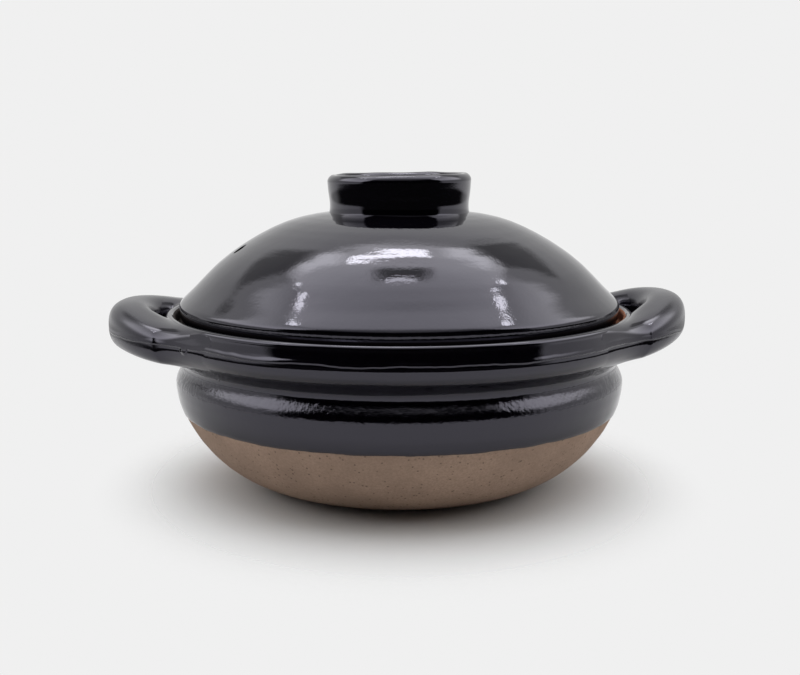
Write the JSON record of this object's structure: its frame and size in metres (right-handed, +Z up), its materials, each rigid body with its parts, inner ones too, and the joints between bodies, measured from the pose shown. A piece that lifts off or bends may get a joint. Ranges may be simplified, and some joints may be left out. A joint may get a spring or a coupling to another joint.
{
  "type": "donabe clay pot",
  "caption": "Round lidded clay cooking pot with two loop handles, a flared rim with a seat for the domed lid, a cup-shaped knob and a steam hole",
  "frame": {"origin": "on the table, under the pot's axis, in the plane of the foot", "axes": "+Z up; +X from the pot's axis to the right handle; -Y towards the viewer of the picture"},
  "size_m": [0.291, 0.2372, 0.1548],
  "materials": {
    "bare_clay": "rough unglazed fired clay",
    "handle_glaze": "glossy near-black glaze on clay",
    "dark_glaze": "glossy near-black glaze"
  },
  "bodies": {
    "pot": {"pot_bowl": "bare_clay", "handle_right": "handle_glaze", "handle_left": "handle_glaze", "pot_outer_glaze": "dark_glaze", "pot_inner_glaze": "dark_glaze"},
    "lid": {"lid_dome": "bare_clay", "lid_knob": "handle_glaze", "lid_outer_glaze": "dark_glaze", "lid_inner_glaze": "dark_glaze"}
  },
  "joints": [
    {"name": "lid_lift", "type": "slide", "parent": "pot", "child": "lid", "axis": [0, 0, 1], "range_m": [0, 0.15]}
  ]
}
